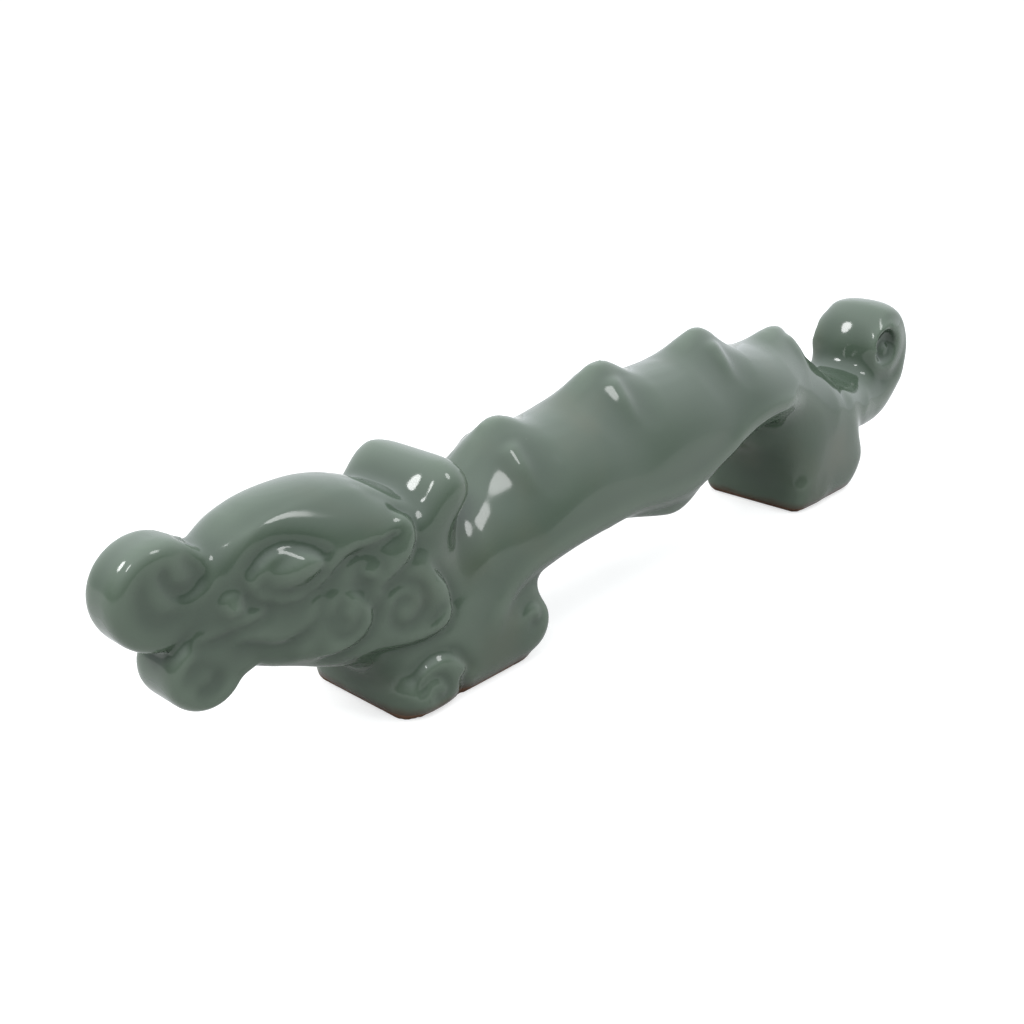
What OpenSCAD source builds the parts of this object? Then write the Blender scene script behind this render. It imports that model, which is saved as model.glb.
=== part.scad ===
/* [Body] */
// Length from the front of the snout curl to the back of the tail curl
overall_l = 166; // [165.4:0.2:166.6]
// Width across the flanks and the feet
body_w = 21; // [20:0.5:22]
// Height of the back at the middle of the arch, between the knobs
back_h = 30.8; // [30.4:0.1:31.2]
// Height of the belly cusp over the table
cusp_h = 10.1; // [9.7:0.1:10.5]
/* [Knobs on the back] */
// Mean distance between two knobs, which is the room for one brush
knob_pitch = 23.2; // [22.8:0.1:23.6]
// Height of a knob over the hollow beside it
knob_h = 3.9; // [3.5:0.1:4.2]
// Half length of a knob along the back
knob_r = 5.5; // [5.1:0.1:5.9]
/* [Feet] */
// Length of the front foot along the table
front_foot_l = 25.8; // [25.4:0.1:26.2]
// Length of the rear foot along the table
rear_foot_l = 21.8; // [21.4:0.1:22.2]
// Clear length of the arch between the feet
arch_l = 65.8; // [65.4:0.1:66.4]
// Height of the bare clay rim under each foot
rim_h = 0.8; // [0.6:0.1:1]
/* [Head] */
// Radius of the snout curl
snout_r = 6.2; // [6:0.1:6.4]
// Width of the snout curl
snout_w = 6.6; // [6.2:0.1:7]
// Height of the brow, cheek, jowl and mane relief on the side of the head
relief = 0.8; // [0.6:0.1:1]
/* [Tail] */
// Radius of the rolled tip of the tail
tail_r = 6.8; // [6.6:0.1:7]
// Width of the rolled tail
tail_w = 14.4; // [14:0.1:14.8]
/* [Hidden] */
glaze = [0.44, 0.52, 0.46];
bare_clay = [0.42, 0.27, 0.17];
half_w = body_w / 2;
front_x = -51.4;
heel_x = front_x + front_foot_l;
toe_x = heel_x + arch_l;
end_x = toe_x + rear_foot_l;
neck_x = -41;
snout_x = -overall_l / 2 + snout_r;
snout_z = 24.3;
tail_x = overall_l / 2 - 1.6 - tail_r;
tail_z = 22;
knob_xs = [for (k = [-0.05, 0.91, 1.985, 3.045]) -25.6 + knob_pitch * k];

// Value at x of a smooth curve through a table of [x, value] points
function slope(t, i) = let(a = max(i - 1, 0), b = min(i + 1, len(t) - 1))
    (t[b][1] - t[a][1]) / (t[b][0] - t[a][0]);
function segment(t, x) = max([for (i = [0 : len(t) - 2]) x >= t[i][0] ? i : 0]);
function hermite(t, i, x) = let(h = t[i + 1][0] - t[i][0], u = (x - t[i][0]) / h)
    t[i][1] * (2 * u ^ 3 - 3 * u ^ 2 + 1) + slope(t, i) * h * (u ^ 3 - 2 * u ^ 2 + u)
    + t[i + 1][1] * (3 * u ^ 2 - 2 * u ^ 3) + slope(t, i + 1) * h * (u ^ 3 - u ^ 2);
function curve(t, x) = x <= t[0][0] ? t[0][1]
    : x >= t[len(t) - 1][0] ? t[len(t) - 1][1] : hermite(t, segment(t, x), x);
function power(v, e) = sign(v) * pow(abs(v), e);

// Ring across the animal, from half width, top, widest height, bottom and the squareness of
// the parts over and under the widest height
function egg(x, hw, top, wide, low, e_up, e_low, n) = [for (i = [0 : n - 1])
    let(a = 360 * i / n, up = sin(a) >= 0, e = up ? e_up : e_low)
    [x, hw * power(cos(a), e), wide + (up ? top - wide : wide - low) * power(sin(a), e)]];

// Skin over rings that have the same number of points
module skin(rings) {
    n = len(rings[0]);
    last = len(rings) - 1;
    polyhedron(
        points = [for (r = rings) each r],
        faces = concat(
            [[for (i = [0 : n - 1]) i]],
            [for (k = [0 : last - 1], i = [0 : n - 1]) let(j = (i + 1) % n)
                each [[k * n + i, (k + 1) * n + i, k * n + j],
                    [k * n + j, (k + 1) * n + i, (k + 1) * n + j]]],
            [[for (i = [n - 1 : -1 : 0]) last * n + i]]),
        convexity = 6);
}

// Body arch with its scalloped back, where the section draws in to a ridge at each knob
back_line = [[-50, 17], [-44, 20.6], [-38, 23.2], [-32.6, 25.2], [-25.6, back_h - 3.2],
    [-15, back_h - 1.3], [-3.9, back_h - 0.1], [8.8, back_h + 0.7], [21.1, back_h + 0.4],
    [33, back_h - 1], [45.5, back_h - 3.7], [52, 23.9], [59, 20.2], [66, 17], [73, 15]];
belly_line = [[-50, 10], [-40, 9], [-30, 9.6], [-25, cusp_h + 0.9], [-20, cusp_h + 1.8], [-15, cusp_h + 2.4],
    [-8, cusp_h + 2.9], [0.2, cusp_h + 1], [4.8, cusp_h], [9.6, cusp_h + 1.3], [14, cusp_h + 3.7],
    [22, cusp_h + 6.3], [32, cusp_h + 7.9], [41, cusp_h + 6.1], [50, 10], [60, 8.4], [73, 10.2]];
wide_line = [[-50, 14], [-38, 15], [-25.9, 16], [-13.7, 17.4], [10.5, 18.4], [22, 19.6],
    [34, 19.6], [42, 17.8], [50, 14.4], [60, 12], [73, 12]];
flank_line = [[-50, 6], [-44, 7.6], [-36, 9.4], [-26, half_w - 0.2], [-12, half_w],
    [46, half_w], [56, half_w - 0.3], [63, half_w - 1.4], [73, half_w - 4.6]];
function bump(x) = max([for (k = knob_xs) exp(-pow(abs(x - k) / knob_r, 2.4))]);
function back(x) = curve(back_line, x) + knob_h * bump(x);
function body_ring(x) = egg(x, curve(flank_line, x), back(x), curve(wide_line, x),
    curve(belly_line, x), 1.02 + 0.5 * bump(x), 0.42, 24);
function body_stations() = [for (i = [0 : 50]) -50 + i * 123 / 50];
module body_form() {
    skin([for (x = body_stations()) body_ring(x)]);
}
module knob_zone(i) {
    x = knob_xs[i];
    translate([x, 0, back(x) + 1.4]) scale([1.35, 1, 1]) sphere(5, $fn = 20);
}
module torso() {
    color(glaze) difference() {
        body_form();
        for (i = [0 : 3]) knob_zone(i);
        translate([-100, -50, -50]) cube([100 + neck_x, 100, 100]);
        crest_form();
        front_leg_form();
        rear_leg_form();
        tail_form();
        translate([end_x - 2.8, -50, -50]) cube([50, 100, 64.2]);
    }
}
module back_knob(i) {
    color(glaze) intersection() {
        body_form();
        knob_zone(i);
    }
}

// Legs: flat feet that swell at the toe and the heel, as wide as the body
front_leg_line = [[rim_h, front_x + 0.5, heel_x - 1.6, half_w - 1.2], [2.4, front_x, heel_x, half_w - 0.2],
    [5, front_x + 0.2, heel_x + 0.7, half_w], [7.6, front_x + 1.6, heel_x + 0.5, half_w - 0.1],
    [10.4, front_x + 3.4, heel_x + 0.1, half_w - 0.4], [13, front_x + 4.4, heel_x + 0.2, half_w - 0.8],
    [16, front_x + 5, heel_x + 0.4, half_w - 1.8]];
rear_leg_line = [[rim_h, toe_x + 0.1, end_x - 2.2, half_w - 0.6], [2.4, toe_x, end_x - 0.8, half_w - 0.1],
    [5, toe_x, end_x + 0.7, half_w], [7.4, toe_x, end_x + 0.9, half_w],
    [10, toe_x, end_x - 0.5, half_w - 0.1], [14, toe_x - 0.2, end_x - 1.6, half_w - 0.4],
    [18.4, toe_x - 1.2, end_x - 6, half_w - 1.8]];
function foot_ring(l, n, e) = let(cx = (l[1] + l[2]) / 2, hx = (l[2] - l[1]) / 2) [for (i = [0 : n - 1])
    let(a = 360 * (i + 0.5) / n) [cx + hx * power(cos(a), e), l[3] * power(sin(a), e), l[0]]];
module leg_form(line, e) {
    skin([for (l = line) foot_ring(l, 28, e)]);
}
// Cylinder across the body with round edges
module roll(x, z, r, w, edge = 1.6) {
    translate([x, 0, z]) rotate([90, 0, 0]) rotate_extrude($fn = 24) polygon(concat([[0, -w / 2]],
        [for (a = [-90 : 30 : 0]) [r - edge + edge * cos(a), -w / 2 + edge + edge * sin(a)]],
        [for (a = [0 : 30 : 90]) [r - edge + edge * cos(a), w / 2 - edge + edge * sin(a)]],
        [[0, w / 2]]));
}
// Groove that winds in towards the middle of both ends of a roll
function wind(r0, r1, turns, a) = let(u = a / (360 * turns)) (r0 + (r1 - r0) * u) * [cos(a), sin(a)];
module groove(x, z, w, r0, r1, turns, t, start) {
    step = 360 * turns / 16;
    for (s = [-1, 1]) translate([x, s * (w / 2 + 0.5), z]) rotate([90, start, 0])
        linear_extrude(2.2, center = true) polygon(concat(
            [for (i = [0 : 16]) wind(r0, r1 + t / 2, turns, i * step)],
            [for (i = [16 : -1 : 0]) wind(r0 - t * 0.8, r1 - t / 2, turns, i * step)]));
}
module front_leg_form() {
    leg_form(front_leg_line, 0.34);
    roll(front_x + 5.6, 3.6, 4.4, body_w + 0.4, 2.4);
    roll(heel_x - 3.6, 5.4, 4.2, body_w);
}
module rear_leg_form() {
    leg_form(rear_leg_line, 0.22);
    roll(toe_x + 6.8, 4.2, 4, body_w + 0.3);
}
module under_rim() {
    translate([-100, -50, -10]) cube([200, 100, 10 + rim_h]);
}
module front_leg() {
    color(glaze) difference() {
        front_leg_form();
        groove(front_x + 5.6, 3.6, body_w + 0.4, 3, 0.7, 1.2, 0.9, 150);
        under_rim();
    }
}
module rear_leg() {
    color(glaze) difference() {
        rear_leg_form();
        groove(toe_x + 6.8, 4.2, body_w + 0.3, 3, 0.8, 1.1, 0.8, 150);
        under_rim();
    }
}
// Bare clay rim that the glaze is wiped from
module foot_rim(x0, x1, corner_r) {
    in = corner_r + 0.6;
    color(bare_clay) linear_extrude(rim_h) hull() for (x = [x0 + in, x1 - in - 0.8], s = [-1, 1])
        translate([x, s * (half_w - in - 0.8)]) circle(corner_r, $fn = 28);
}

// Tail: the rump runs out into a tongue that turns up and rolls forward over itself
tail_path = [[56, 15.4], [64, 13.2], [72.2, 12.8], [78.6, 16], [81, 22], [78.8, 26.8],
    [74.6, 27.8], [71.2, 25.4]];
function spline(p, i, u) = let(a = p[max(i - 1, 0)], b = p[i], c = p[i + 1], d = p[min(i + 2, len(p) - 1)])
    0.5 * (2 * b + (c - a) * u + (2 * a - 5 * b + 4 * c - d) * u ^ 2 + (3 * b - a - 3 * c + d) * u ^ 3);
function route(p, n) = [for (i = [0 : len(p) - 2], k = [0 : n - 1]) spline(p, i, k / n), p[len(p) - 1]];
function tongue_ring(c, dir, t, w, n, e) = [for (i = [0 : n - 1]) let(a = 360 * i / n, q = power(sin(a), e))
    [c[0] - dir[1] * t * q, w * power(cos(a), e), c[1] + dir[0] * t * q]];
module tongue(path, t0, t1, w0, w1, n) {
    last = len(path) - 1;
    skin([for (i = [0 : last]) let(d = path[min(i + 1, last)] - path[max(i - 1, 0)], u = i / last)
        tongue_ring(path[i], d / norm(d), t0 + (t1 - t0) * u, w1 + (w0 - w1) * pow(1 - u, 1.4), n, 0.5 + 0.45 * u)]);
}
module tail_form() {
    difference() {
        union() {
            intersection() {
                translate([tail_x - 74.6, 0, tail_z - 22]) tongue(route(tail_path, 3), 4.6, 2.4, 9.9, 5.9, 18);
                translate([0, -50, 0]) cube([overall_l / 2, 100, 60]);
            }
            roll(tail_x + 1, tail_z, tail_r + 0.2, tail_w + 0.2, 3.3);
        }
        for (s = [-1, 1]) translate([tail_x - 0.9, s * tail_w / 2, tail_z + 1.1]) rotate([90, 0, 0])
            cylinder(r = 3.1, h = 5.6, center = true, $fn = 24);
    }
    roll(tail_x + 0.3, tail_z - 0.6, 2, tail_w - 2, 0.8);
}
module tail_curl() {
    color(glaze) difference() {
        tail_form();
        rear_leg_form();
    }
}

// Head: a wedge that narrows to the snout, widest at the line of the brows
head_top = [[-77, 21.4], [-74, 25.6], [-71, 28.4], [-66, 30.9], [-58, 31.4], [-52, 30.3], [-47, 28],
    [-42, 24.6], [-38, 22]];
head_low = [[-77, 19.6], [-72, 15.6], [-68, 12.6], [-60, 9.4], [-56, 7.5], [-52, 6.5], [-47, 6.8], [-42, 8.2], [-38, 10]];
head_wide = [[-77, 21], [-71, 24], [-66, 25.4], [-58, 25.6], [-47, 24.4], [-42, 21], [-38, 17]];
head_half = [[-77, 2.6], [-71, 4.2], [-66, 5.2], [-58, 6.7], [-52, 7.8], [-47, 8.6], [-42, 8.8], [-38, 7.6]];
module head_form(grow = 0) {
    skin([for (x = [-77 : 3 : -38]) egg(x, curve(head_half, x) + grow, curve(head_top, x) + grow,
        curve(head_wide, x), curve(head_low, x) - grow * 0.5, 0.98, 0.5, 24)]);
}
module snout_form() {
    roll(snout_x, snout_z, snout_r, snout_w);
}
module snout_curl() {
    color(glaze) difference() {
        snout_form();
        groove(snout_x, snout_z, snout_w, 5.2, 1, 1.3, 1.1, 30);
    }
}
module jaw_form() {
    roll(-73.15, 14.75, 4.85, 8.4);
    hull() {
        roll(-70.9, 15.2, 3.6, 8);
        roll(-64, 16.4, 2.6, 9);
    }
}
module lower_jaw() {
    color(glaze) difference() {
        jaw_form();
        groove(-73.15, 14.75, 8.4, 3.6, 0.9, 1.2, 0.9, 40);
        head_form();
        snout_form();
    }
}
crest_spots = [[-43.4, 6, 23.8, 3.2], [-40.8, 4.9, 26.4, 4.3], [-43.6, 5.2, 25.2, 2.9],
    [-45.2, 6.4, 22.4, 2.2]];
module crest_form() {
    hull() for (c = crest_spots, s = [-1, 1]) translate([c[0], s * c[1], c[2]]) sphere(c[3], $fn = 20);
}
module crest_roll() {
    color(glaze) crest_form();
}

// Relief on the side of the head: an outline in side view, set into the head and a little proud
module relief_zone() {
    translate([0, -3, 0]) rotate([90, 0, 0]) linear_extrude(20) children();
}
module zone(proud) {
    color(glaze) intersection() {
        relief_zone() children();
        head_form(proud);
    }
}
// Closed smooth line through points in side view
function corner(p, i) = p[(i + len(p)) % len(p)];
function bend(a, b, c, d, u) = 0.5 * (2 * b + (c - a) * u + (2 * a - 5 * b + 4 * c - d) * u ^ 2
    + (3 * b - a - 3 * c + d) * u ^ 3);
function loop(p, n) = [for (i = [0 : len(p) - 1], k = [0 : n - 1])
    bend(corner(p, i - 1), corner(p, i), corner(p, i + 1), corner(p, i + 2), k / n)];
brow_line = [[-69.5, 27.2], [-67.6, 25.9], [-65, 26.7], [-62, 26.3], [-59, 24.6], [-55, 24.3], [-51, 24.7],
    [-47.8, 25.7], [-50, 27.4], [-55, 29.1], [-61, 29.6], [-66.4, 28.9]];
eye_line = [[-68.8, 23.6], [-66.6, 25.8], [-64.4, 26.4], [-61.4, 25.8], [-59.2, 24.2], [-58.4, 22.6],
    [-60, 21], [-62.6, 20], [-65.4, 20.2], [-67.6, 21.6]];
cheek_line = [[-57.2, 23.2], [-54.6, 24.4], [-50.6, 24.9], [-47.8, 25.4], [-47.8, 23.4], [-49, 21.4],
    [-51.4, 19.8], [-54, 18.7], [-56.4, 19.4], [-57.8, 21.2]];
jowl_line = [[-59.8, 19.8], [-56.8, 19.4], [-54.7, 17.8], [-54.1, 15.6], [-54.9, 13.7], [-57, 12.2],
    [-60, 11.7], [-62.8, 12.6], [-62.4, 14.6], [-61, 17.2]];
mane_line = [[-46.4, 20.6], [-45.4, 18.8], [-43.6, 16.6], [-42.9, 14], [-43.6, 11.6], [-46, 10],
    [-50, 9.4], [-54, 9.8], [-57.6, 11.2], [-56, 15], [-53.4, 19.4], [-49.6, 21.4]];
module brow_outline() {
    polygon(loop(brow_line, 3));
}
module eye_outline() {
    difference() {
        polygon(loop(eye_line, 3));
        brow_outline();
    }
}
module cheek_outline() {
    difference() {
        polygon(loop(cheek_line, 3));
        brow_outline();
        eye_outline();
    }
}
module jowl_outline() {
    difference() {
        polygon(loop(jowl_line, 3));
        cheek_outline();
        eye_outline();
    }
}
module mane_outline() {
    difference() {
        polygon(loop(mane_line, 3));
        jowl_outline();
        cheek_outline();
        brow_outline();
    }
}
module all_outlines() {
    brow_outline();
    eye_outline();
    cheek_outline();
    jowl_outline();
    mane_outline();
}
module head() {
    color(glaze) difference() {
        head_form();
        for (s = [0, 1]) mirror([0, s, 0]) relief_zone() offset(delta = -0.02) offset(delta = 0.02) all_outlines();
        translate([neck_x, -50, -50]) cube(100);
        front_leg_form();
        snout_form();
        crest_form();
    }
}
module brow_left() {
    zone(relief) brow_outline();
}
module eye_left() {
    zone(relief * 0.3) eye_outline();
}
module cheek_curl_left() {
    zone(relief * 0.6) cheek_outline();
}
module jowl_left() {
    zone(relief * 0.8) jowl_outline();
}
module mane_curl_left() {
    difference() {
        zone(relief) mane_outline();
        front_leg_form();
        crest_form();
    }
}

torso();
back_knob(0);  // back_knob_1
back_knob(1);  // back_knob_2
back_knob(2);  // back_knob_3
back_knob(3);  // back_knob_4
front_leg();
rear_leg();
foot_rim(front_x, heel_x, 2.3);  // front_foot_rim
foot_rim(toe_x, end_x, 1.4);  // rear_foot_rim
tail_curl();
head();
snout_curl();
lower_jaw();
crest_roll();
brow_left();
mirror([0, 1, 0]) brow_left();  // brow_right
eye_left();
mirror([0, 1, 0]) eye_left();  // eye_right
cheek_curl_left();
mirror([0, 1, 0]) cheek_curl_left();  // cheek_curl_right
jowl_left();
mirror([0, 1, 0]) jowl_left();  // jowl_right
mane_curl_left();
mirror([0, 1, 0]) mane_curl_left();  // mane_curl_right
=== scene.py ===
import math
import bpy
import numpy as np
from mathutils import Matrix, Vector
from mathutils.kdtree import KDTree


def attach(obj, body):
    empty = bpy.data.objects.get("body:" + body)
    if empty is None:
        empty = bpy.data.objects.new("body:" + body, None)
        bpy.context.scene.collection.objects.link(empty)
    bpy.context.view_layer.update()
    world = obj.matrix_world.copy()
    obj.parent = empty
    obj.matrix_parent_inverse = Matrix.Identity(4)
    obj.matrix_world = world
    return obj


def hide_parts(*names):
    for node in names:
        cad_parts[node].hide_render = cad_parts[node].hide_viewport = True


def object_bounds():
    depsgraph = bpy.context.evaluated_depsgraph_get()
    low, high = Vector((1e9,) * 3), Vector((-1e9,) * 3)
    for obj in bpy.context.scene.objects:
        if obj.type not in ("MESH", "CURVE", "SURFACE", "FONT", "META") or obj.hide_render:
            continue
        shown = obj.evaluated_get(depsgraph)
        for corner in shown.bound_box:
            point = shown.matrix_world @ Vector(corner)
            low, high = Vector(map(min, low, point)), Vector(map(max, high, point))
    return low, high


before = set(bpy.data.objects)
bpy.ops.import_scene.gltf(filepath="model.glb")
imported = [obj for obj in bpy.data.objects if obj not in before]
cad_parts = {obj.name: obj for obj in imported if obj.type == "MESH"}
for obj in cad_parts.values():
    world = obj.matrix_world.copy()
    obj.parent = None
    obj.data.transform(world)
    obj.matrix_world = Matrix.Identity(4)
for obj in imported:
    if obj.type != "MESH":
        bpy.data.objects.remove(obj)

cadLow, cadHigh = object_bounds()
mm = 0.001  # the clay is shaped in millimetres and brought to metres when it is cut into its pieces


def deselectAll():
    if bpy.context.object and bpy.context.object.mode != "OBJECT":
        bpy.ops.object.mode_set(mode="OBJECT")
    bpy.ops.object.select_all(action="DESELECT")


def pick(thing):
    deselectAll()
    thing.select_set(True)
    bpy.context.view_layer.objects.active = thing


def applyModifier(thing, kind, **settings):
    pick(thing)
    modifier = thing.modifiers.new(kind.lower(), kind)
    for key, value in settings.items():
        setattr(modifier, key, value)
    bpy.ops.object.modifier_apply(modifier=modifier.name)


def remesh(thing, voxel):
    applyModifier(thing, "REMESH", mode="VOXEL", voxel_size=voxel)


# Camera, at the photograph's angle: degrees and millimetres, the near clip in metres

view = {"azimuth": -47.69, "elevation": 21.93, "distance": 160.983, "target": (-23.51, -1.443, 17.53),
        "lens": 42.1875, "sensor": 36, "clipStart": 0.005}


def makeCamera(v):
    a, e = math.radians(v["azimuth"]), math.radians(v["elevation"])
    back = Vector((math.sin(a) * math.cos(e), -math.cos(a) * math.cos(e), math.sin(e)))
    right = Vector((math.cos(a), math.sin(a), 0))
    up = back.cross(right)
    place = (Vector(v["target"]) + back * v["distance"]) * mm
    bpy.ops.object.camera_add(location=place)
    camera = bpy.context.object
    camera.matrix_world = Matrix.Translation(place) @ Matrix((right, up, back)).transposed().to_4x4()
    camera.data.lens = v["lens"]
    camera.data.sensor_width = v["sensor"]
    camera.data.clip_start = v["clipStart"]
    bpy.context.scene.camera = camera


makeCamera(view)


# Clay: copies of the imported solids, merged and joined into one lump for each part of the animal.
# voxel is the grain, settle the rounds of softening, fill the centre and half size of pellets worked into gaps

lumps = {
    "trunk": {"voxel": 0.5, "settle": 140, "fill": [((40.5, 0, 15.2), (6, 8.6, 5.2))], "nodes": [
        "torso", "back_knob_1", "back_knob_2", "back_knob_3", "back_knob_4", "front_leg", "rear_leg",
        "front_foot_rim", "rear_foot_rim"]},
    "tail": {"voxel": 0.4, "settle": 90, "nodes": ["tail_curl"], "fill": [
        ((74.6, 0, 22), (6.75, 5.4, 6.75)), ((69.5, 0, 16.9), (5.5, 7.2, 3)), ((62, 0, 14.6), (8, 9.3, 4.5))]},
    "head": {"voxel": 0.5, "settle": 110, "nodes": [
        "head", "brow_left", "brow_right", "eye_left", "eye_right", "cheek_curl_left", "cheek_curl_right",
        "jowl_left", "jowl_right", "mane_curl_left", "mane_curl_right"], "fill": [
        ((-71, 0, 25.3), (3, 3.4, 2.6)), ((-45.5, 0, 8.2), (7.5, 9.2, 3.4)), ((-41, 0, 24), (3, 7.2, 4.6)),
        ((-70.5, 0, 17.5), (3.5, 4, 2.2))]},
    "snout": {"voxel": 0.4, "settle": 50, "nodes": ["snout_curl"]},
    "jaw": {"voxel": 0.4, "settle": 30, "nodes": ["lower_jaw"]},
    "crest": {"voxel": 0.4, "settle": 140, "nodes": ["crest_roll"]},
}
sponge = {"times": 90, "steep": 0.85, "neck": -36, "rump": 58, "belly": 11}  # where the flanks are drawn smooth
whole = {"merge": 0.002, "bulk": 0.98, "voxel": 0.35, "settle": 8}  # the joined clay, in mm and rounds
softening = {"pull": 0.5, "push": 0.51}  # share of the way to the neighbours' mean, and back out of it


def copySolid(node):
    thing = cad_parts[node].copy()
    thing.data = thing.data.copy()
    bpy.context.scene.collection.objects.link(thing)
    for key in list(thing.keys()):
        del thing[key]
    thing.parent = None
    thing.data.transform(Matrix.Scale(1 / mm, 4))
    pick(thing)
    bpy.ops.object.mode_set(mode="EDIT")
    bpy.ops.mesh.select_all(action="SELECT")
    bpy.ops.mesh.remove_doubles(threshold=whole["merge"])
    bpy.ops.object.mode_set(mode="OBJECT")
    return thing


def joinAll(things, name):
    pick(things[0])
    for t in things[1:]:
        t.select_set(True)
    if len(things) > 1:
        bpy.ops.object.join()
    things[0].name = name
    return things[0]


def readPoints(thing, field="co"):
    values = np.empty(len(thing.data.vertices) * 3)
    thing.data.vertices.foreach_get(field, values)
    return values.reshape(-1, 3)


def writePoints(thing, co):
    thing.data.vertices.foreach_set("co", co.ravel())
    thing.data.update()


def readEdges(thing):
    edges = np.empty(len(thing.data.edges) * 2, np.int64)
    thing.data.edges.foreach_get("vertices", edges)
    return edges.reshape(-1, 2).T


def countOf(a, b, size):
    return np.bincount(a, minlength=size) + np.bincount(b, minlength=size)


def meanOf(values, a, b, count):
    sums = [np.bincount(a, v[b], len(v)) + np.bincount(b, v[a], len(v)) for v in values.T]
    return np.stack(sums, 1) / count[:, None]


def fadeIn(values, width):
    return np.clip(values / width, 0, 1)


def settle(thing, times, keep=1.0, weight=None):  # softens clay: keep 1 holds its bulk, 0 lets it sink as if wiped
    co = readPoints(thing)
    a, b = readEdges(thing)
    if weight is not None:
        used = weight > 0
        near = used[a] | used[b]
        a, b = a[near], b[near]
    spots = np.unique(np.concatenate((a, b)))
    order = np.zeros(len(co), np.int64)
    order[spots] = np.arange(len(spots))
    a, b, part = order[a], order[b], co[spots]
    count = countOf(a, b, len(part))
    w = 1.0 if weight is None else weight[spots, None]
    passes = (softening["pull"], -softening["push"] * keep) if keep else (softening["pull"],)
    for step in range(times):
        for share in passes:
            part = part + (meanOf(part, a, b, count) - part) * share * w
    co[spots] = part
    writePoints(thing, co)


def addFill(centre, half):
    deselectAll()
    bpy.ops.mesh.primitive_uv_sphere_add(segments=48, ring_count=32, radius=1)
    pellet = bpy.context.object
    pellet.data.transform(Matrix.Translation(centre) @ Matrix.Diagonal((*half, 1)))
    return pellet


def smoothFlanks(trunk, s):
    co, normal = readPoints(trunk), readPoints(trunk, "normal")
    flank = fadeIn(s["steep"] - abs(normal[:, 2]), 0.25) * fadeIn(co[:, 0] - s["neck"], 4)
    settle(trunk, s["times"], keep=0, weight=flank * fadeIn(s["rump"] - co[:, 0], 4) * fadeIn(co[:, 2] - s["belly"], 3))


def makeLump(name, plan):
    lump = joinAll([copySolid(n) for n in plan["nodes"]] + [addFill(*f) for f in plan.get("fill", [])], name)
    remesh(lump, plan["voxel"])
    settle(lump, plan["settle"], keep=whole["bulk"])
    if name == "trunk":
        smoothFlanks(lump, sponge)
    return lump


clay = [makeLump(name, plan) for name, plan in lumps.items()]
print("clay lumps made")
clay = joinAll(clay, "clay")
remesh(clay, whole["voxel"])
settle(clay, whole["settle"])

# Joints: where the parts are luted together and wiped smooth. Centre and half size in side view, how often,
# and how far from the middle plane the wiping stays within or beyond

joints = [
    {"at": (64, 13), "size": (8, 8), "times": 60}, {"at": (67, 18), "size": (9, 5), "times": 60},
    {"at": (70, 23), "size": (8, 8), "times": 110, "within": 6.2}, {"at": (73, 13), "size": (9, 5), "times": 90},
    {"at": (50, 6), "size": (14, 14), "times": 14}, {"at": (42, 17.5), "size": (10, 7), "times": 400},
    {"at": (30, 18), "size": (12, 4.5), "times": 200}, {"at": (39, 12.5), "size": (8, 8), "times": 300},
    {"at": (60.5, 17.5), "size": (6, 4.5), "times": 250}, {"at": (-38, 12), "size": (9, 10), "times": 16},
    {"at": (-48, 8), "size": (8, 4.5), "times": 250}, {"at": (-41, 20), "size": (5, 7), "times": 250},
    {"at": (-54, 7.4), "size": (7, 3), "times": 60}, {"at": (-37, 27.5), "size": (5, 6), "times": 60},
    {"at": (-45, 27), "size": (5, 5), "times": 60}, {"at": (-60, 26), "size": (14, 5.6), "times": 500, "beyond": 4},
    {"at": (-76, 25.5), "size": (6, 6), "times": 16}, {"at": (-72, 27), "size": (5, 5), "times": 30},
    {"at": (-71, 17.5), "size": (5, 4), "times": 50}, {"at": (-38, 4), "size": (16, 6), "times": 5}]
thumb = {"firm": 1.4, "soft": 1.5}  # how flat the middle of a wipe is, and the mm over which it ends sideways


def wipe(thing, places):
    for p in places:
        co = readPoints(thing)
        off = ((co[:, 0] - p["at"][0]) / p["size"][0]) ** 2 + ((co[:, 2] - p["at"][1]) / p["size"][1]) ** 2
        away = abs(co[:, 1])
        soft = np.clip(thumb["firm"] * (1 - off), 0, 1) * fadeIn(p.get("within", 20) - away, thumb["soft"])
        settle(thing, p["times"], keep=0, weight=soft * fadeIn(away - p.get("beyond", -2), thumb["soft"]))


wipe(clay, joints)
print("clay joined,", len(clay.data.vertices), "points")


# Relief: every line is drawn in side view, laid on the clay from both sides and pressed in or raised along the
# surface. An edge stands up on the side that is named and falls off on the other; ends are the shares that fade

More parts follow.
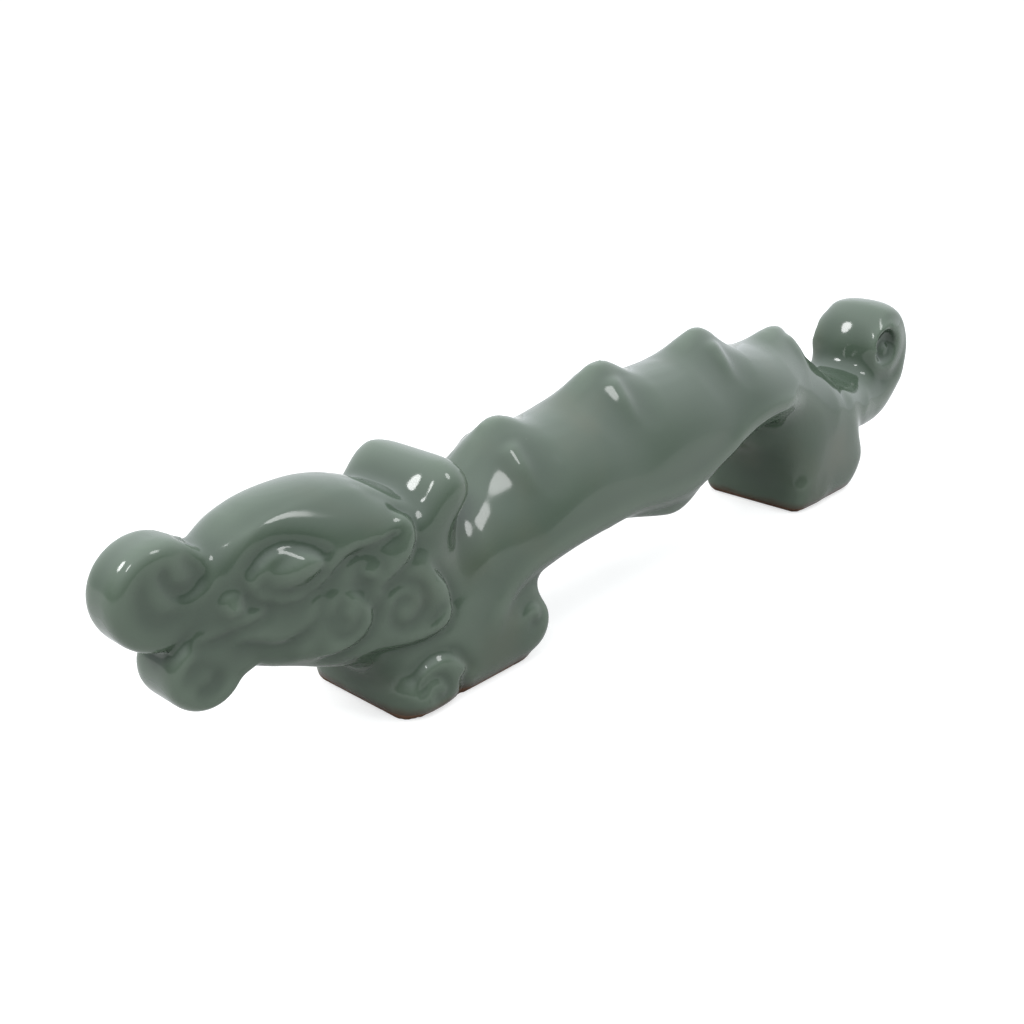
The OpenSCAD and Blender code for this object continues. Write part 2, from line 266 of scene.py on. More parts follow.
relief = {
    "maneEdge": {"kind": "edge", "high": 0.75, "deep": 0.35, "side": (-50, 15), "ends": (0.25, 0.4), "line": [
        (-46.3, 20.8), (-45.7, 19.4), (-44.6, 18), (-43.5, 16.3), (-42.9, 14.2), (-43.2, 12.4),
        (-44.2, 11.2), (-46, 10.4), (-48.6, 10), (-51.6, 10.1), (-54.6, 10.6), (-57.4, 11.6)]},
    "jowlEdge": {"kind": "edge", "high": 0.6, "deep": 0.3, "side": (-58, 16), "line": [
        (-57.4, 19.9), (-56, 19), (-54.8, 17.7), (-54.1, 15.9), (-54.4, 14.4), (-55.2, 13.3), (-56.6, 12.4),
        (-58.6, 11.9), (-60.8, 11.9)]},
    "cheekEdge": {"kind": "edge", "high": 0.4, "deep": 0.2, "side": (-64, 18), "line": [
        (-59.8, 20.3), (-60.3, 18.8), (-61, 17.1), (-62.2, 16), (-63.7, 15.4), (-65.4, 15.4), (-67.2, 16.1),
        (-69, 16.7), (-70.8, 16.5)]},
    "eyeRim": {"kind": "edge", "high": 0.35, "deep": 0.3, "side": (-63, 23), "line": [
        (-69.2, 25), (-68.9, 24.2), (-68.4, 22.7), (-67.1, 21.2), (-65.3, 20.2), (-63.5, 19.9),
        (-61.6, 20.2), (-59.8, 21), (-58.4, 22.3), (-57.3, 23.2), (-55.9, 23.8), (-54.2, 24), (-52.2, 24.1),
        (-50.3, 24.6), (-48.6, 25.2)]},
    "earEdge": {"kind": "edge", "high": 0.5, "deep": 0.3, "side": (-52, 22), "line": [
        (-50.4, 27.2), (-48.6, 26.6), (-47.6, 25.7), (-47.5, 24.5), (-47.8, 23.2), (-48.5, 21.9),
        (-49.6, 20.8), (-51, 19.9), (-52.5, 19), (-53.6, 18.3)]},
    "crestCrease": {"kind": "groove", "deep": 0.12, "wide": 0.9, "line": [
        (-52, 30), (-51.5, 29.5), (-50.7, 28.8), (-49.6, 28.1), (-48.6, 27.2), (-47.6, 26)]},
    "upperLid": {"kind": "edge", "high": 0.35, "deep": 0.32, "side": (-64, 28), "line": [
        (-67.9, 23.6), (-67.6, 24.8), (-66.8, 25.8), (-65.6, 26.4), (-64.2, 26.6), (-62.6, 26.3),
        (-61.1, 25.6), (-59.8, 24.6), (-58.9, 23.6)]},
    "lowerLid": {"kind": "groove", "deep": 0.22, "wide": 0.7, "line": [
        (-67.5, 23.4), (-66.5, 22.3), (-65, 21.5), (-63.3, 21.2), (-61.6, 21.5), (-60.2, 22.4),
        (-59.2, 23.4)]},
    "eyeball": {"kind": "swell", "high": 0.9, "at": (-63.2, 23.7), "size": (3.8, 2.1), "turn": 12},
    "lip": {"kind": "edge", "high": 0.3, "deep": 0.3, "side": (-70, 21), "line": [
        (-75.5, 18.2), (-73.9, 18.2), (-72.3, 18.2), (-71, 18.4), (-69.4, 18.7), (-68, 18.9), (-66.7, 19.3),
        (-65.5, 19.9)]},
    "nostrilWing": {"kind": "groove", "deep": 0.3, "wide": 0.5, "line": [
        (-69, 22.6), (-68.6, 21.5), (-67.7, 20.8), (-66.6, 20.4), (-65.6, 20)]},
    "nostril": {"kind": "swell", "high": 0.95, "at": (-70.3, 21.7), "size": (1.8, 1.6), "turn": 0},
    "nostrilCurl": {"kind": "groove", "deep": 0.45, "wide": 0.38, "line": [
        (-70.9, 21), (-70.9, 21.7), (-70.3, 22.1), (-69.7, 21.8), (-69.7, 21.2)]},
    "snoutRidge": {"kind": "groove", "deep": -0.3, "wide": 0.8, "line": [
        (-73.8, 29.3), (-72.7, 27.8), (-71.9, 26), (-72.2, 24.6), (-73.5, 23.6), (-75.1, 23.2), (-76.8, 24),
        (-77.9, 25.3), (-78.2, 26.7), (-77.8, 27.6), (-76.8, 28), (-75.9, 27.5), (-75.5, 26.5)]},
    "snoutGroove": {"kind": "groove", "deep": 0.4, "wide": 1.1, "line": [
        (-74.9, 28.8), (-73.7, 27.7), (-73, 26.3), (-73.2, 25.1), (-74.1, 24.4), (-75.2, 24.2),
        (-76.2, 24.7), (-76.9, 25.6), (-77.1, 26.4), (-76.7, 27), (-76.1, 26.9)]},
    "jawGroove": {"kind": "groove", "deep": 0.3, "wide": 0.9, "line": [
        (-76.6, 12.9), (-76.5, 14.8), (-75.4, 16), (-73.8, 15.6), (-72.6, 14.2), (-72.5, 12.8),
        (-73.5, 12.1), (-74.6, 12.6), (-74.7, 13.8)]},
    "maneGroove": {"kind": "groove", "deep": 0.36, "wide": 0.75, "line": [
        (-53.3, 13.4), (-53.2, 15.3), (-52.7, 17.1), (-51.4, 18.3), (-49.6, 18.5), (-47.9, 17.6),
        (-47.1, 15.9), (-47.4, 14.1), (-48.7, 12.9), (-50.3, 12.8), (-51.3, 13.9), (-51.3, 15.4),
        (-50.4, 16.4), (-49.3, 16), (-49.1, 15)]},
    "jowlGroove": {"kind": "groove", "deep": 0.28, "wide": 0.7, "line": [
        (-59.6, 17.9), (-59.3, 16), (-58.4, 14.4), (-56.9, 14), (-55.8, 15.1), (-55.7, 16.8), (-56.6, 18),
        (-57.8, 17.9), (-58.3, 16.9), (-57.8, 15.9), (-57, 16.1)]},
    "cheekGroove": {"kind": "groove", "deep": 0.3, "wide": 0.7, "line": [
        (-57.4, 22.9), (-56, 23.3), (-54.3, 23.1), (-52.9, 22.2), (-52.4, 20.8), (-53.1, 19.8),
        (-54.5, 19.7), (-55.5, 20.5), (-55.6, 21.6), (-54.8, 22.2), (-53.9, 21.7), (-54, 20.9)]},
    "toeScroll": {"kind": "edge", "high": 0.35, "deep": 0.4, "side": (-46, 4), "line": [
        (-49.4, 4.6), (-48.6, 6.2), (-47.4, 7.3), (-45.8, 7.8), (-44, 7.5), (-42.5, 6.2), (-41.4, 4.6),
        (-40.8, 2.8)]},
    "toeGroove": {"kind": "groove", "deep": 0.4, "wide": 0.65, "line": [
        (-48.9, 2.2), (-48.8, 4), (-47.6, 5.3), (-46, 5.2), (-44.8, 3.9), (-44.8, 2.5), (-45.8, 1.9),
        (-46.7, 2.6), (-46.4, 3.4)]},
    "toeNotch": {"kind": "groove", "deep": 0.7, "wide": 0.7, "line": [
        (-42.6, 4.4), (-42.2, 3.4), (-41.7, 2.4), (-41.3, 1.4), (-41, 0.6), (-40.8, 0.2)]},
    "heelCurl": {"kind": "groove", "deep": 0.3, "wide": 0.6, "line": [
        (-31.6, 7.2), (-30.6, 8.8), (-28.9, 9.2), (-27.5, 8.2), (-27.2, 6.7), (-28.1, 5.7), (-29.3, 6.2),
        (-29.2, 7.2)]},
    "flankRidge": {"kind": "groove", "deep": -0.35, "wide": 1.6, "line": [
        (-37, 5), (-36, 8.4), (-33.6, 11.4), (-29, 13.8), (-22, 15), (-14, 15.6), (-6, 15.9), (2, 15.4),
        (9, 15.8), (16, 18), (23, 20.6), (30, 21.8), (36, 21.4), (40.5, 20)]},
    "flankHollow": {"kind": "groove", "deep": 0.4, "wide": 1.3, "line": [
        (-33.6, 7), (-32, 10), (-28, 11.8), (-22, 12.6), (-14, 13.2), (-6, 13.6), (1, 12.9), (8, 12.8),
        (14, 14.6), (20, 17.2), (27, 19), (33, 19.3), (38, 18.4)]},
}

knobs = [(-26.6, 29.6), (-4.4, 33.6), (20.5, 34.3), (45, 30.9)]  # peaks in side view, each pinched up between dents
dent = {"kind": "swell", "size": (3.6, 5), "turn": 12}

for i, (x, z) in enumerate(knobs):
    relief["knob%dRidge" % (i + 1)] = {"kind": "groove", "deep": -0.45, "wide": 1.6, "ends": (0.2, 0.6), "line": [
        (x + 0.1, z - 1), (x + 0.3, z - 3), (x + 0.5, z - 5), (x + 0.4, z - 7.5)]}
    relief["knob%dFront" % (i + 1)] = {**dent, "high": -0.12, "at": (x - 4.2, z - 4.2)}
    relief["knob%dRear" % (i + 1)] = {**dent, "high": -0.2, "at": (x + 4, z - 4)}

edgeForm = {"round": 1.1, "lean": 3.4, "under": 0.45, "outside": 1.3, "reach": 9}  # mm along the surface
carving = {"near": 8, "settle": 3, "finish": 8, "bulk": 0.9, "footFlat": 0.15}


def smoothLine(points, steps=6):
    p = np.array([points[0]] + list(points) + [points[-1]], float)
    u = (np.arange(steps) / steps)[:, None]
    made = [0.5 * (2 * b + (c - a) * u + (2 * a - 5 * b + 4 * c - d) * u ** 2 + (3 * b - a - 3 * c + d) * u ** 3)
            for a, b, c, d in zip(p, p[1:], p[2:], p[3:])]
    return np.concatenate(made + [p[-1:]])


def layOn(thing, line, side):  # the points where the line, seen from one side, meets the clay
    laid = []
    for x, z in line:
        hit, spot, _, _ = thing.ray_cast((x, side * 40, z), (0, -side, 0))
        if hit and spot.y * side > 1:
            laid.append(tuple(spot))
    return np.array(laid)


def nearestOn(co, path):
    best = np.full(len(co), 1e9)
    foot, along, share = np.zeros_like(co), np.zeros_like(co), np.zeros(len(co))
    for i, (a, b) in enumerate(zip(path, path[1:])):
        d = b - a
        t = np.clip((co - a) @ d / max(d @ d, 1e-9), 0, 1)
        q = a + t[:, None] * d
        r = ((co - q) ** 2).sum(1)
        m = r < best
        best[m], foot[m], along[m], share[m] = r[m], q[m], d, (i + t[m]) / (len(path) - 1)
    return np.sqrt(best), foot, along / np.linalg.norm(along, axis=1)[:, None], share


def swellOf(plan, co, side):
    (cx, cz), (rx, rz), turn = plan["at"], plan["size"], math.radians(plan["turn"])
    dx, dz = co[:, 0] - cx, co[:, 2] - cz
    u = (dx * math.cos(turn) + dz * math.sin(turn)) / rx
    v = (dz * math.cos(turn) - dx * math.sin(turn)) / rz
    return plan["high"] * np.clip(1 - u * u - v * v, 0, 1) ** 1.5 * (co[:, 1] * side > 2)


def strokeOf(plan, co, normal, path, side):
    far, foot, along, share = nearestOn(co, path)
    head, tail = plan.get("ends", (0.12, 0.12))
    fade = np.clip(share / head, 0, 1) * np.clip((1 - share) / tail, 0, 1)
    fade = fade * fade * (3 - 2 * fade)
    if plan["kind"] == "groove":
        return -plan["deep"] * np.exp(-(far / plan["wide"]) ** 2) * fade
    signed = ((co - foot) * np.cross(normal, along)).sum(1)
    inward = (plan["side"][0] - foot[:, 0], plan["side"][1] - foot[:, 2])
    signed *= side * np.sign(np.median(np.cross(inward, (along[:, 0], along[:, 2]), axis=0)))
    up = fadeIn(signed, edgeForm["round"])
    rise = np.sqrt(np.clip(1 - (1 - up) ** 2, 0, 1)) * np.exp(-(np.clip(signed, 0, None) / edgeForm["lean"]) ** 2)
    fall = np.exp(-(signed / np.where(signed > 0, edgeForm["under"], edgeForm["outside"])) ** 2)
    return (plan["high"] * rise - plan["deep"] * fall) * fade * (far < edgeForm["reach"])


def carve(thing, plans, c):
    co, normal = readPoints(thing), readPoints(thing, "normal")
    push = np.zeros(len(co))
    for plan in plans.values():
        for side in (-1, 1):
            drawn = np.array(plan.get("line") or [plan["at"]])
            low, high = drawn.min(0) - c["near"], drawn.max(0) + c["near"]
            near = np.where((co[:, 0] > low[0]) & (co[:, 0] < high[0]) & (co[:, 2] > low[1]) & (co[:, 2] < high[1])
                            & (co[:, 1] * side > 0))[0]
            if plan["kind"] == "swell":
                push[near] += swellOf(plan, co[near], side)
            else:
                path = layOn(thing, smoothLine(plan["line"]), side)
                push[near] += strokeOf(plan, co[near], normal[near], path, side)
    writePoints(thing, co + normal * push[:, None])
    settle(thing, c["settle"])
    remesh(thing, whole["voxel"])
    settle(thing, c["finish"], keep=c["bulk"])
    co = np.clip(readPoints(thing), np.array(cadLow) / mm, np.array(cadHigh) / mm)  # inside the box of the solids
    co[:, 2] = np.where(co[:, 2] < c["footFlat"], 0, co[:, 2])  # the feet stand flat
    writePoints(thing, co)


bpy.context.view_layer.update()
carve(clay, relief, carving)
print("relief carved")


# How deep the glaze lies: it runs off edges and pools in hollows. It is read from how far the clay stands over its
# own softened form, a finely and a broadly softened one, each with its rounds and its share

flow = {"fine": (16, 1.7), "broad": (80, 0.22), "pace": 0.6, "blur": 8, "least": 0.01, "flat": 0.5}


def glazeDepth(thing, f):
    sharp, normal = readPoints(thing), readPoints(thing, "normal")
    a, b = readEdges(thing)
    count = countOf(a, b, len(sharp))
    co, depth = sharp.copy(), np.zeros((len(sharp), 1))
    for times, share in (f["fine"], f["broad"]):
        for step in range(times):
            co = co + (meanOf(co, a, b, count) - co) * f["pace"]
        depth += share * ((co - sharp) * normal).sum(1)[:, None]
    for step in range(f["blur"]):
        depth = 0.5 * depth + 0.5 * meanOf(depth, a, b, count)
    return np.clip(f["flat"] + depth[:, 0], f["least"], 1)


clayDepth = glazeDepth(clay, flow)
skinPoints, skinNormals = readPoints(clay), readPoints(clay, "normal")
clay.data.attributes.new("glazeDepth", "FLOAT", "POINT").data.foreach_set("value", clayDepth)
clay.data.attributes.new("skinNormal", "FLOAT_VECTOR", "POINT").data.foreach_set("vector", skinNormals.ravel())
print("glaze depth read")


# Pieces: the clay is cut back into the parts that the potter luted together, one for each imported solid, in this
# order. A cutter is a box, a drum across the rest (x, z, radius), a ball (centre, radius), or the solid itself,
# grown all round or pushed outwards

cuts = {
    "front_foot_rim": {"box": ((-54, -12, -1), (-22, 12, 0.8))},
    "rear_foot_rim": {"box": ((36, -12, -1), (66, 12, 0.8))},
    "tail_curl": {"box": ((62.4, -15, 9), (90, 15, 45))},
    "snout_curl": {"drum": (-76.8, 24.3, 6.9)},
    "lower_jaw": {"box": ((-90, -15, -5), (-69.5, 15, 17.8))},
    "crest_roll": {"grow": 0.8},
    **{part + side: {"out": 2.5} for part in ("eye", "brow", "cheek_curl", "jowl", "mane_curl")
       for side in ("_left", "_right")},
    "back_knob_1": {"ball": (-26.8, 0, 29.4, 5.2)},
    "back_knob_2": {"ball": (-4.5, 0, 32.4, 5.2)},
    "back_knob_3": {"ball": (20.5, 0, 33, 5.2)},
    "back_knob_4": {"ball": (45, 0, 29.6, 5.2)},
    "front_leg": {"grow": 0.5},
    "rear_leg": {"box": ((36, -12, -1), (90, 12, 14))},
    "head": {"box": ((-90, -15, -5), (-41, 15, 45))},
    "torso": None,  # what is left
}
cutting = {"voxel": 0.5, "settle": 4, "inner": 35, "facing": 0.3, "crumb": 90, "newPoint": 0.005}


def growSolid(name, cut, c):
    cutter = copySolid(name)
    remesh(cutter, c["voxel"])
    settle(cutter, c["settle"])
    co, normal = readPoints(cutter), readPoints(cutter, "normal")
    if "out" in cut:
        side = np.sign(co[:, 1].mean())
        outer = co[:, 1] * side > np.percentile(co[:, 1] * side, c["inner"])
        co[:, 1] += side * cut["out"] * outer * (normal[:, 1] * side > c["facing"])
    else:
        co += normal * cut["grow"]
    writePoints(cutter, co)
    return cutter


def makeCutter(name, cut):
    deselectAll()
    if "box" in cut:
        low, high = Vector(cut["box"][0]), Vector(cut["box"][1])
        bpy.ops.mesh.primitive_cube_add(size=1)
        place = Matrix.Translation((low + high) / 2) @ Matrix.Diagonal((*(high - low), 1))
    elif "drum" in cut:
        x, z, radius = cut["drum"]
        bpy.ops.mesh.primitive_cylinder_add(vertices=96, radius=radius, depth=30)
        place = Matrix.Translation((x, 0, z)) @ Matrix.Rotation(math.pi / 2, 4, "X")
    elif "ball" in cut:
        bpy.ops.mesh.primitive_ico_sphere_add(subdivisions=4, radius=cut["ball"][3])
        place = Matrix.Translation(cut["ball"][:3])
    else:
        return growSolid(name, cut, cutting)
    cutter = bpy.context.object
    cutter.data.transform(place)
    return cutter


def cutOut(thing, name, cut):
    piece = thing.copy()
    piece.data = thing.data.copy()
    bpy.context.scene.collection.objects.link(piece)
    cutter = makeCutter(name, cut)
    applyModifier(piece, "BOOLEAN", operation="INTERSECT", object=cutter, solver="MANIFOLD")
    applyModifier(thing, "BOOLEAN", operation="DIFFERENCE", object=cutter, solver="MANIFOLD")
    bpy.data.objects.remove(cutter)
    return piece


def islandsOf(piece):  # one number for all points that hang together
    a, b = readEdges(piece)
    label = np.arange(len(piece.data.vertices))
    while True:
        low = np.minimum(label[a], label[b])
        new = label.copy()
        np.minimum.at(new, a, low)
        np.minimum.at(new, b, low)
        new = new[new]
        if (new == label).all():
            return label
        label = new


def dropCrumbs(piece):  # slivers that the cuts leave beside the piece itself
    pick(piece)
    bpy.ops.object.mode_set(mode="EDIT")
    bpy.ops.mesh.select_all(action="SELECT")
    bpy.ops.mesh.remove_doubles(threshold=whole["merge"])
    bpy.ops.mesh.dissolve_degenerate(threshold=whole["merge"])
    bpy.ops.mesh.select_all(action="DESELECT")
    bpy.ops.object.mode_set(mode="OBJECT")
    label = islandsOf(piece)
    size = np.bincount(label, minlength=len(label))
    crumbs = (label != size.argmax()) & (size[label] < cutting["crumb"])
    piece.data.vertices.foreach_set("select", crumbs)
    bpy.ops.object.mode_set(mode="EDIT")
    bpy.ops.mesh.delete(type="VERT")
    bpy.ops.object.mode_set(mode="OBJECT")
    return int(crumbs.sum())


pieces = {name: cutOut(clay, name, cut) if cut else clay for name, cut in cuts.items()}
for name, piece in pieces.items():
    crumbs = dropCrumbs(piece)
    print("cut", name, len(piece.data.vertices), "points,", crumbs, "in crumbs")

skinTree = KDTree(len(skinPoints))
for i, p in enumerate(skinPoints):
    skinTree.insert(p, i)
skinTree.balance()


def dress(piece):  # the new points along a cut take normal and glaze depth from the whole clay, so no seam shows
    co = readPoints(piece)
    normal, depth = np.empty(co.size), np.empty(len(co))
    piece.data.attributes["skinNormal"].data.foreach_get("vector", normal)
    piece.data.attributes["glazeDepth"].data.foreach_get("value", depth)
    normal = normal.reshape(-1, 3)
    for i in np.where(depth < cutting["newPoint"])[0]:
        near = skinTree.find_n(co[i], 3)
        index = [n[1] for n in near]
        share = np.array([1 / (n[2] + 1e-4) for n in near])
        normal[i], depth[i] = share @ skinNormals[index], share @ clayDepth[index] / share.sum()
    piece.data.attributes["glazeDepth"].data.foreach_set("value", depth)
    piece.data.attributes.remove(piece.data.attributes["skinNormal"])
    piece.data.shade_smooth()
    piece.data.normals_split_custom_set_from_vertices(normal / np.linalg.norm(normal, axis=1)[:, None])


for name, piece in pieces.items():
    piece.name = name + "_clay"
    dress(piece)
    piece.data.transform(Matrix.Scale(mm, 4))
    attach(piece, "root")
    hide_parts(name)
print("pieces dressed")


# Glaze and bare clay

perMetre = 1 / mm  # divided by a pattern's size in mm, it gives the pattern's scale


def toLinear(text):
    part = [int(text[i:i + 2], 16) / 255 for i in (1, 3, 5)]
    return [c / 12.92 if c <= 0.04045 else ((c + 0.055) / 1.055) ** 2.4 for c in part] + [1.0]


def addNode(tree, kind, inputs=None, **settings):  # an input is a socket to link or a value to set
    node = tree.nodes.new(kind)
    for key, value in settings.items():
        setattr(node, key, value)
    for key, value in (inputs or {}).items():
        if isinstance(value, bpy.types.NodeSocket):
            tree.links.new(value, node.inputs[key])
        else:
            node.inputs[key].default_value = value
    return node


celadon = {"thin": "#515e50", "thinAt": 0.22, "body": "#3d4a3d", "bodyAt": 0.5, "pooled": "#333f34", "pooledAt": 0.82,
           "rough": 0.1, "ior": 1.5, "cloud": 30, "cloudDrift": 0.09, "ash": "#4f5344", "ashCloud": 17, "ashShare": 0.5,
           "rust": "#453628", "rustShare": 0.9, "foot": 2.2, "run": 6, "runDrop": 1.6, "orangePeel": 5,
           "peelHeight": 0.012, "pinhole": 6, "pinholeSize": 0.22, "pinholeTone": "#1d1a15", "pinholeRare": 0.86}


# Celadon over stoneware, dipped and fired in reduction: a thick, clear grey-green glass that is pale where it runs
# thin over edges, deep green where it pools, rust brown where it ends over the foot, slightly wavy, with a few pinholes
def celadonGlaze(c):
    material = bpy.data.materials.new("celadonGlaze")
    material.use_nodes = True
    tree = material.node_tree
    shader = tree.nodes["Principled BSDF"]
    shader.inputs["IOR"].default_value = c["ior"]
    shader.inputs["Roughness"].default_value = c["rough"]
    place = addNode(tree, "ShaderNodeTexCoord").outputs["Object"]

    # tone of the glass by its depth, with a broad drift from dipping
    depth = addNode(tree, "ShaderNodeAttribute", attribute_name="glazeDepth").outputs["Fac"]
    cloud = addNode(tree, "ShaderNodeTexNoise", {
        "Vector": place, "Scale": perMetre / c["cloud"], "Detail": 3, "Roughness": 0.55}).outputs["Fac"]
    drift = addNode(tree, "ShaderNodeMapRange", {
        "Value": cloud, "From Min": 0.3, "From Max": 0.7, "To Min": -c["cloudDrift"], "To Max": c["cloudDrift"]})
    depth = addNode(tree, "ShaderNodeMath", {0: depth, 1: drift.outputs["Result"]}, operation="ADD").outputs["Value"]
    ramp = addNode(tree, "ShaderNodeValToRGB", {"Fac": depth})
    ramp.color_ramp.interpolation = "B_SPLINE"
    stops = ramp.color_ramp.elements
    stops[0].position, stops[0].color = c["thinAt"], toLinear(c["thin"])
    stops[1].position, stops[1].color = c["pooledAt"], toLinear(c["pooled"])
    stops.new(c["bodyAt"]).color = toLinear(c["body"])

    # ashy clouds
    ashCloud = addNode(tree, "ShaderNodeTexNoise", {
        "Vector": place, "Scale": perMetre / c["ashCloud"], "Detail": 2}).outputs["Fac"]
    ashy = addNode(tree, "ShaderNodeMapRange", {
        "Value": ashCloud, "From Min": 0.52, "From Max": 0.72, "To Min": 0, "To Max": c["ashShare"]},
        interpolation_type="SMOOTHSTEP").outputs["Result"]
    tint = addNode(tree, "ShaderNodeMix", {
        0: ashy, 6: ramp.outputs["Color"], 7: toLinear(c["ash"])}, data_type="RGBA").outputs[2]

    # rust where the glaze ends over the foot, in an uneven line
    high = addNode(tree, "ShaderNodeSeparateXYZ", {0: place}).outputs["Z"]
    wander = addNode(tree, "ShaderNodeTexNoise", {
        "Vector": place, "Scale": perMetre / c["run"], "Detail": 2}).outputs["Fac"]
    drop = addNode(tree, "ShaderNodeMath", {
        0: wander, 1: -c["runDrop"] * mm, 2: high}, operation="MULTIPLY_ADD").outputs["Value"]
    rusty = addNode(tree, "ShaderNodeMapRange", {
        "Value": drop, "From Min": -0.2 * mm, "From Max": (c["foot"] - 0.8) * mm, "To Min": c["rustShare"],
        "To Max": 0}, interpolation_type="SMOOTHSTEP").outputs["Result"]
    tint = addNode(tree, "ShaderNodeMix", {0: rusty, 6: tint, 7: toLinear(c["rust"])}, data_type="RGBA").outputs[2]

    # pinholes, in one of seven cells or so
    holes = addNode(tree, "ShaderNodeTexVoronoi", {"Vector": place, "Scale": perMetre / c["pinhole"]})
    hole = c["pinholeSize"] / c["pinhole"]
    spot = addNode(tree, "ShaderNodeMapRange", {
        "Value": holes.outputs["Distance"], "From Min": hole * 0.5, "From Max": hole * 1.2, "To Min": 1, "To Max": 0},
        interpolation_type="SMOOTHSTEP").outputs["Result"]
    cell = addNode(tree, "ShaderNodeSeparateColor", {0: holes.outputs["Color"]}).outputs[0]
    rare = addNode(tree, "ShaderNodeMapRange", {
        "Value": cell, "From Min": c["pinholeRare"], "From Max": c["pinholeRare"] + 0.01, "To Min": 0, "To Max": 1},
        interpolation_type="SMOOTHSTEP").outputs["Result"]
    spot = addNode(tree, "ShaderNodeMath", {0: spot, 1: rare}, operation="MULTIPLY").outputs["Value"]
    tint = addNode(tree, "ShaderNodeMix", {
        0: spot, 6: tint, 7: toLinear(c["pinholeTone"])}, data_type="RGBA").outputs[2]
    tree.links.new(tint, shader.inputs["Base Color"])

    # orange peel
    peel = addNode(tree, "ShaderNodeTexNoise", {
        "Vector": place, "Scale": perMetre / c["orangePeel"], "Detail": 1}).outputs["Fac"]
    bump = addNode(tree, "ShaderNodeBump", {"Height": peel, "Strength": 1, "Distance": c["peelHeight"] * mm})
    tree.links.new(bump.outputs["Normal"], shader.inputs["Normal"])
    return material


stoneware = {"clay": "#6a4a33", "clayAt": 0.65, "burnt": "#3f2a1c", "burntAt": 0.35, "patch": 5, "grain": 0.5,
             "grit": 0.06, "rough": 0.85}


# Bare stoneware: the body clay itself where the glaze was wiped off before firing, rust brown, matt and sandy
def bareStoneware(c):
    material = bpy.data.materials.new("bareStoneware")
    material.use_nodes = True
    tree = material.node_tree
    shader = tree.nodes["Principled BSDF"]
    shader.inputs["Roughness"].default_value = c["rough"]
    place = addNode(tree, "ShaderNodeTexCoord").outputs["Object"]
    patch = addNode(tree, "ShaderNodeTexNoise", {
        "Vector": place, "Scale": perMetre / c["patch"], "Detail": 5, "Roughness": 0.6}).outputs["Fac"]
    ramp = addNode(tree, "ShaderNodeValToRGB", {"Fac": patch})
    stops = ramp.color_ramp.elements
    stops[0].position, stops[0].color = c["burntAt"], toLinear(c["burnt"])
    stops[1].position, stops[1].color = c["clayAt"], toLinear(c["clay"])
    tree.links.new(ramp.outputs["Color"], shader.inputs["Base Color"])
    sand = addNode(tree, "ShaderNodeTexNoise", {
        "Vector": place, "Scale": perMetre / c["grain"], "Detail": 2}).outputs["Fac"]
    bump = addNode(tree, "ShaderNodeBump", {"Height": sand, "Distance": c["grit"] * mm})
    tree.links.new(bump.outputs["Normal"], shader.inputs["Normal"])
    return material


glaze, bare = celadonGlaze(celadon), bareStoneware(stoneware)
for name, piece in pieces.items():
    piece.data.materials.clear()
    piece.data.materials.append(bare if "rim" in name else glaze)
print("glazed")


# Floor and lights

backdrop = {"paper": "#bcbcba", "rough": 0.9, "lift": "#ffffff", "glow": 0.58, "radius": 6}


def makeFloor(b):  # mid-grey for the clay to mirror, and lifted to white where the camera sees it
    bpy.ops.mesh.primitive_circle_add(vertices=96, radius=b["radius"], fill_type="NGON")
    floor = bpy.context.object
    floor.name = "paleFloor"
    paint = bpy.data.materials.new("palePaper")
    paint.use_nodes = True
    tree = paint.node_tree
    shader = tree.nodes["Principled BSDF"]
    shader.inputs["Base Color"].default_value = toLinear(b["paper"])
    shader.inputs["Roughness"].default_value = b["rough"]
    shader.inputs["Emission Color"].default_value = toLinear(b["lift"])
    seen = addNode(tree, "ShaderNodeLightPath").outputs["Is Camera Ray"]
    lift = addNode(tree, "ShaderNodeMath", {0: seen, 1: b["glow"]}, operation="MULTIPLY").outputs["Value"]
    tree.links.new(lift, shader.inputs["Emission Strength"])
    floor.data.materials.append(paint)


lamps = {  # where each soft box stands round the rest: azimuth and elevation in degrees, distance and size in metres
    "windowBox": {"azimuth": 145, "elevation": 45, "distance": 0.6, "size": (0.17, 0.17), "radiance": 13},
    "sideBox": {"azimuth": -72, "elevation": 50, "distance": 0.6, "size": (0.14, 0.2), "radiance": 6},
    "shoulderBox": {"azimuth": -150, "elevation": 50, "distance": 0.6, "size": (0.07, 0.12), "radiance": 12},
}


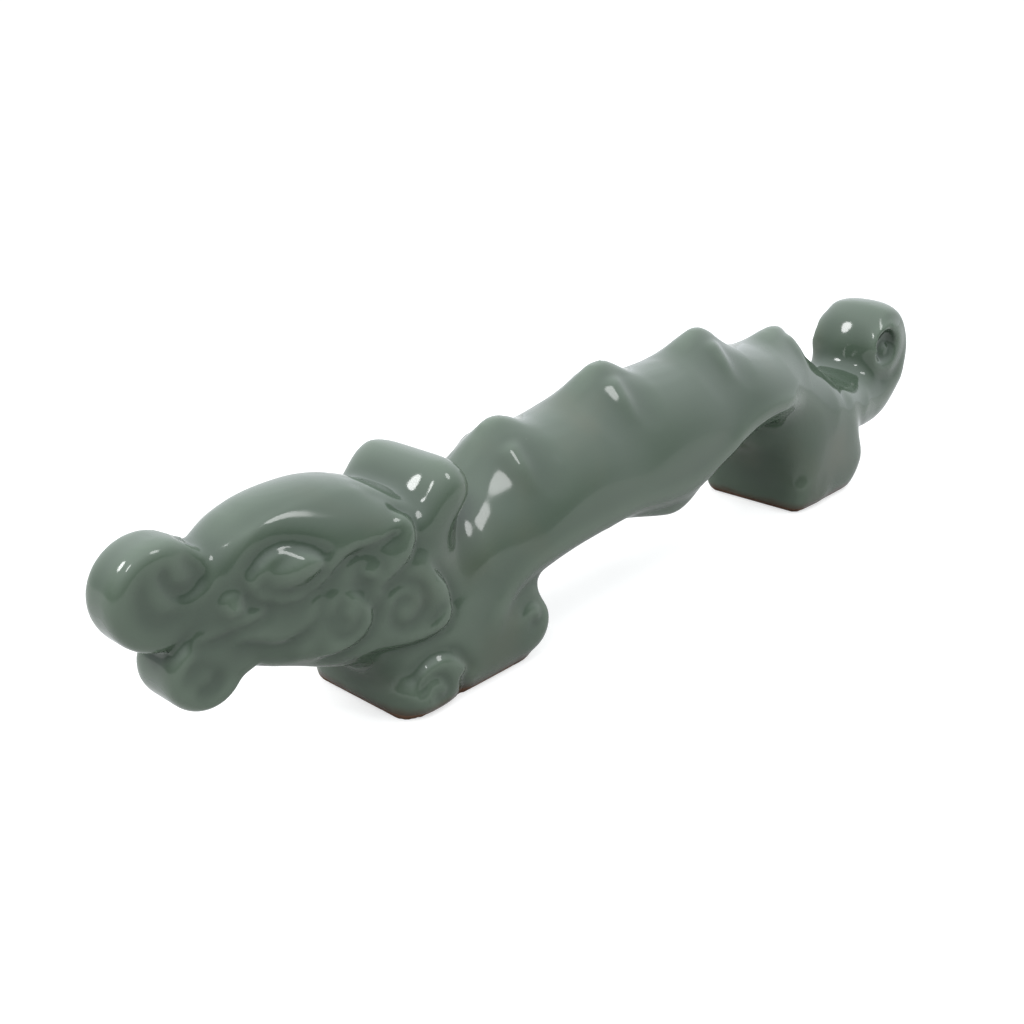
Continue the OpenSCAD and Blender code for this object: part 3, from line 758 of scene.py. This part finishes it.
def addLamp(name, p):
    a, e = math.radians(p["azimuth"]), math.radians(p["elevation"])
    way = Vector((math.cos(a) * math.cos(e), math.sin(a) * math.cos(e), math.sin(e)))
    bpy.ops.object.light_add(type="AREA", location=way * p["distance"])
    lamp = bpy.context.object
    lamp.name = name
    lamp.data.shape = "ELLIPSE"
    lamp.data.size, lamp.data.size_y = p["size"]
    lamp.data.energy = p["radiance"] * math.pi * p["size"][0] * p["size"][1]
    lamp.rotation_euler = way.to_track_quat("Z", "Y").to_euler()


room = {"zenith": 2.2, "wall": 1.25, "front": 0.17, "horizon": 0.34, "seen": 1.15, "away": (0.686, 0.625),
        "tint": "#f6faff"}


def makeRoom(r):  # bright overhead and behind the rest, dim before it, white where the camera looks past the floor
    world = bpy.data.worlds.new("paleRoom")
    world.use_nodes = True
    tree = world.node_tree
    way = addNode(tree, "ShaderNodeTexCoord").outputs["Generated"]
    high = addNode(tree, "ShaderNodeSeparateXYZ", {0: way}).outputs["Z"]
    lean = addNode(tree, "ShaderNodeVectorMath", {0: way, 1: (*r["away"], 0)}, operation="DOT_PRODUCT").outputs["Value"]
    front = addNode(tree, "ShaderNodeMapRange", {
        "Value": high, "From Min": 0, "From Max": 0.4, "To Min": r["horizon"], "To Max": r["front"]},
        interpolation_type="SMOOTHSTEP").outputs["Result"]
    behind = addNode(tree, "ShaderNodeMapRange", {
        "Value": lean, "From Min": -0.4, "From Max": 0.6, "To Min": 0, "To Max": 1},
        interpolation_type="SMOOTHSTEP").outputs["Result"]
    wall = addNode(tree, "ShaderNodeMix", {0: behind, 2: front, 3: r["wall"]}, data_type="FLOAT").outputs[0]
    above = addNode(tree, "ShaderNodeMapRange", {
        "Value": high, "From Min": 0.1, "From Max": 0.9, "To Min": 0, "To Max": 1}).outputs["Result"]
    light = addNode(tree, "ShaderNodeMix", {0: above, 2: wall, 3: r["zenith"]}, data_type="FLOAT").outputs[0]
    camera = addNode(tree, "ShaderNodeLightPath").outputs["Is Camera Ray"]
    light = addNode(tree, "ShaderNodeMix", {0: camera, 2: light, 3: r["seen"]}, data_type="FLOAT").outputs[0]
    tree.links.new(light, tree.nodes["Background"].inputs["Strength"])
    tree.nodes["Background"].inputs["Color"].default_value = toLinear(r["tint"])
    bpy.context.scene.world = world
    bpy.context.scene.view_settings.view_transform = "Standard"


makeFloor(backdrop)
for name, plan in lamps.items():
    addLamp(name, plan)
makeRoom(room)
print("stage set")
